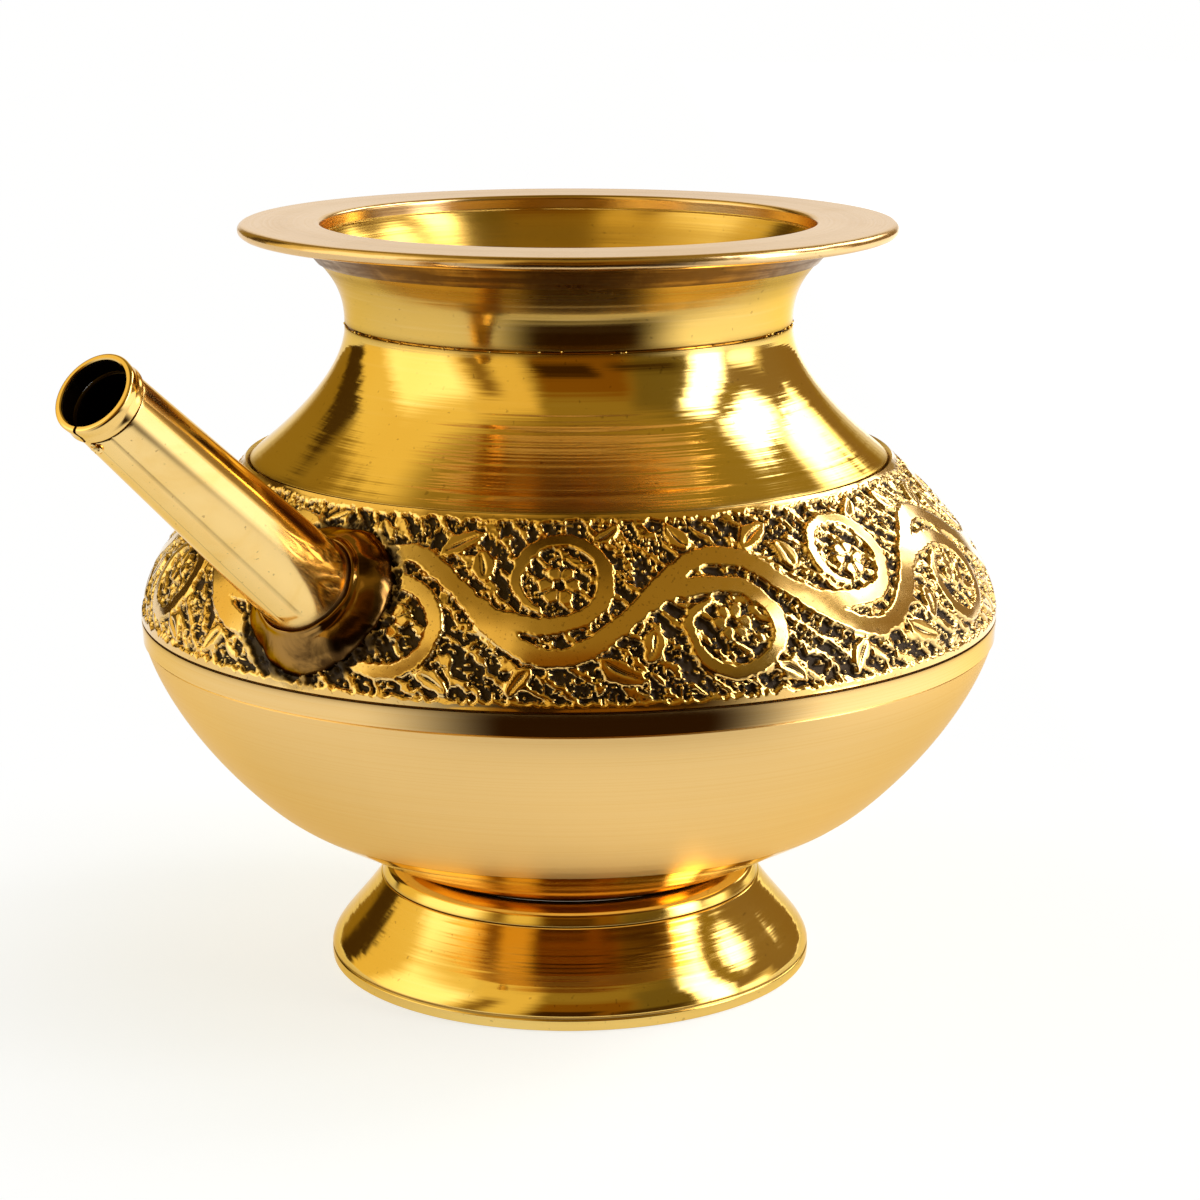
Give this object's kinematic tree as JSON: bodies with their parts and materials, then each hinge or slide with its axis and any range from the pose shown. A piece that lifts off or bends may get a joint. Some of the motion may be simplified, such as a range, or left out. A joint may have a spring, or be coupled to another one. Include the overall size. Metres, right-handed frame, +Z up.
{
  "type": "spouted water pot",
  "caption": "Small brass water pot with a flat rim, waisted neck, ornamented band, round bowl, flared foot and a straight slanted spout.",
  "frame": {"origin": "on the surface that the pot stands on, below the middle of its length and width", "axes": "+Z up along the pot's own axis, +X towards the spout's tip"},
  "size_m": [0.1319, 0.1014, 0.0889],
  "materials": {
    "rim_flange": "satin brushed brass",
    "rim_braze": "dull darkened filler metal",
    "neck": "lathe-brushed brass",
    "shoulder": "polished lathe-turned brass",
    "engraved_band": "chased brass with dark patina in the hollows",
    "lower_bowl": "satin lathe-turned brass",
    "foot_ring": "polished brass",
    "foot_flare": "polished lathe-turned brass",
    "spout_tube": "polished brass",
    "spout_lip": "polished brass",
    "spout_collar": "dull brazed brass"
  },
  "bodies": {
    "root": {"rim_flange": "rim_flange", "rim_braze": "rim_braze", "neck": "neck", "shoulder": "shoulder", "engraved_band": "engraved_band", "lower_bowl": "lower_bowl", "foot_ring": "foot_ring", "foot_flare": "foot_flare", "spout_tube": "spout_tube", "spout_lip": "spout_lip", "spout_collar": "spout_collar"}
  },
  "joints": []
}
